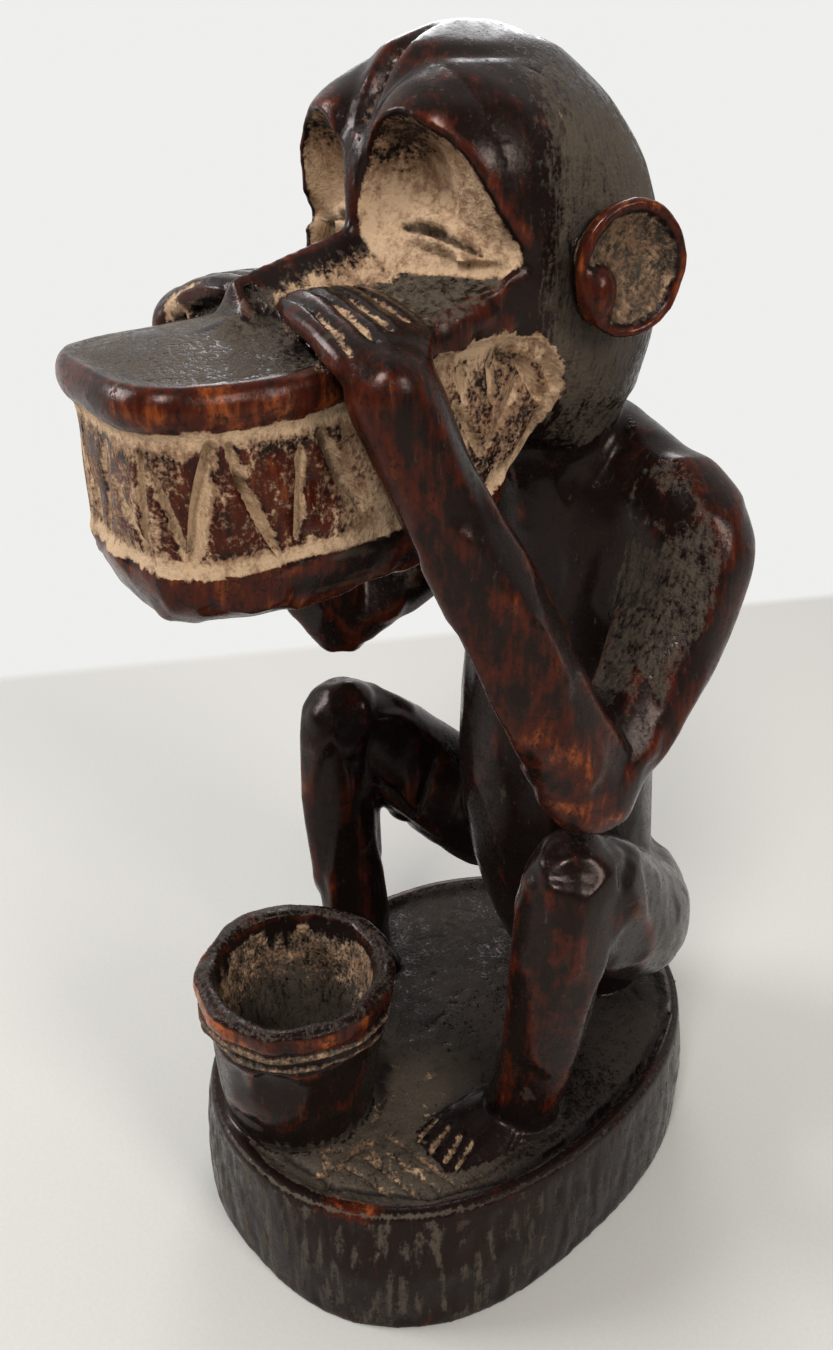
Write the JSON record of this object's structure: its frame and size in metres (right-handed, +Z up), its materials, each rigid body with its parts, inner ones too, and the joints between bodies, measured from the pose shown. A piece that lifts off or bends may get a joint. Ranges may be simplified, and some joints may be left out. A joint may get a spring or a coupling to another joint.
{
  "type": "carved monkey figure",
  "caption": "Squatting monkey carved in dark wood, elbows on knees and hands on a long box muzzle with zigzag teeth, an open cup between its feet, on an oval base.",
  "frame": {"origin": "middle of the base's flat underside", "axes": "+Z up, the monkey faces -Y, its left side is +X"},
  "size_m": [0.1163, 0.1607, 0.2815],
  "materials": {
    "carved_wood": "dark hand-polished patina with reddish wear and pale clay in the hollows"
  },
  "bodies": {
    "root": {"monkey_figure": "carved_wood"}
  },
  "joints": []
}
